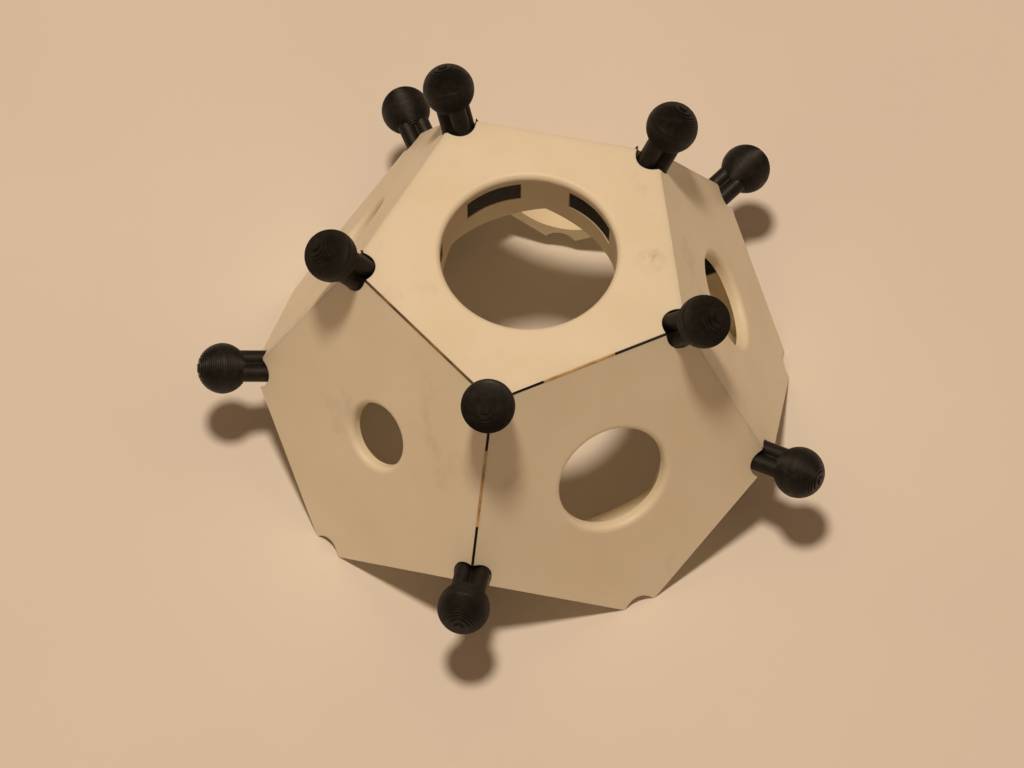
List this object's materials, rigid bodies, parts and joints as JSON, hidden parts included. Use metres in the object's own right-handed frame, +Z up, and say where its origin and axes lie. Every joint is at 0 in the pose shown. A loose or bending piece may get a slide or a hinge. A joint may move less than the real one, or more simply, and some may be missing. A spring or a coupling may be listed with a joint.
{
  "type": "knobbed dodecahedron puzzle, upper half",
  "caption": "Half-assembled knobbed dodecahedron: thick ivory panels with round windows of differing size, locked at each corner by a hidden bracket and a black ball-headed peg that pulls out.",
  "frame": {"origin": "on the five-fold axis, level with the surface that the five free tips stand on", "axes": "+Z up, along the five-fold axis and out of the top panel; -Y towards the upper corner that is nearest the viewer"},
  "size_m": [0.0946, 0.0903, 0.0468],
  "materials": {
    "top_panel": "satin ivory, 3-D printed",
    "front_right_panel": "satin ivory, 3-D printed",
    "right_panel": "satin ivory, 3-D printed",
    "back_panel": "satin ivory, 3-D printed",
    "left_panel": "satin ivory, 3-D printed",
    "front_left_panel": "satin ivory, 3-D printed",
    "upper_bracket_1": "matte black",
    "upper_bracket_2": "matte black",
    "upper_bracket_3": "matte black",
    "upper_bracket_4": "matte black",
    "upper_bracket_5": "matte black",
    "lower_bracket_1": "matte black",
    "lower_bracket_2": "matte black",
    "lower_bracket_3": "matte black",
    "lower_bracket_4": "matte black",
    "lower_bracket_5": "matte black",
    "upper_peg_1": "matte black with fine print layers",
    "upper_peg_2": "matte black with fine print layers",
    "upper_peg_3": "matte black with fine print layers",
    "upper_peg_4": "matte black with fine print layers",
    "upper_peg_5": "matte black with fine print layers",
    "lower_peg_1": "matte black with fine print layers",
    "lower_peg_2": "matte black with fine print layers",
    "lower_peg_3": "matte black with fine print layers",
    "lower_peg_4": "matte black with fine print layers",
    "lower_peg_5": "matte black with fine print layers"
  },
  "bodies": {
    "shell": {"top_panel": "top_panel", "front_right_panel": "front_right_panel", "right_panel": "right_panel", "back_panel": "back_panel", "left_panel": "left_panel", "front_left_panel": "front_left_panel", "upper_bracket_1": "upper_bracket_1", "upper_bracket_2": "upper_bracket_2", "upper_bracket_3": "upper_bracket_3", "upper_bracket_4": "upper_bracket_4", "upper_bracket_5": "upper_bracket_5", "lower_bracket_1": "lower_bracket_1", "lower_bracket_2": "lower_bracket_2", "lower_bracket_3": "lower_bracket_3", "lower_bracket_4": "lower_bracket_4", "lower_bracket_5": "lower_bracket_5"},
    "upper_peg_1": {"upper_peg_1": "upper_peg_1"},
    "upper_peg_2": {"upper_peg_2": "upper_peg_2"},
    "upper_peg_3": {"upper_peg_3": "upper_peg_3"},
    "upper_peg_4": {"upper_peg_4": "upper_peg_4"},
    "upper_peg_5": {"upper_peg_5": "upper_peg_5"},
    "lower_peg_1": {"lower_peg_1": "lower_peg_1"},
    "lower_peg_2": {"lower_peg_2": "lower_peg_2"},
    "lower_peg_3": {"lower_peg_3": "lower_peg_3"},
    "lower_peg_4": {"lower_peg_4": "lower_peg_4"},
    "lower_peg_5": {"lower_peg_5": "lower_peg_5"}
  },
  "joints": [
    {"name": "upper_peg_1_pull", "type": "slide", "parent": "shell", "child": "upper_peg_1", "axis": [0, -0.6071, 0.7947], "range_m": [0, 0.015]},
    {"name": "upper_peg_2_pull", "type": "slide", "parent": "shell", "child": "upper_peg_2", "axis": [0.5774, -0.1876, 0.7947], "range_m": [0, 0.015]},
    {"name": "upper_peg_3_pull", "type": "slide", "parent": "shell", "child": "upper_peg_3", "axis": [0.3568, 0.4911, 0.7947], "range_m": [0, 0.015]},
    {"name": "upper_peg_4_pull", "type": "slide", "parent": "shell", "child": "upper_peg_4", "axis": [-0.3568, 0.4911, 0.7947], "range_m": [0, 0.015]},
    {"name": "upper_peg_5_pull", "type": "slide", "parent": "shell", "child": "upper_peg_5", "axis": [-0.5774, -0.1876, 0.7947], "range_m": [0, 0.015]},
    {"name": "lower_peg_1_pull", "type": "slide", "parent": "shell", "child": "lower_peg_1", "axis": [0, -0.9822, 0.1876], "range_m": [0, 0.015]},
    {"name": "lower_peg_2_pull", "type": "slide", "parent": "shell", "child": "lower_peg_2", "axis": [0.9342, -0.3035, 0.1876], "range_m": [0, 0.015]},
    {"name": "lower_peg_3_pull", "type": "slide", "parent": "shell", "child": "lower_peg_3", "axis": [0.5774, 0.7947, 0.1876], "range_m": [0, 0.015]},
    {"name": "lower_peg_4_pull", "type": "slide", "parent": "shell", "child": "lower_peg_4", "axis": [-0.5774, 0.7947, 0.1876], "range_m": [0, 0.015]},
    {"name": "lower_peg_5_pull", "type": "slide", "parent": "shell", "child": "lower_peg_5", "axis": [-0.9342, -0.3035, 0.1876], "range_m": [0, 0.015]}
  ]
}
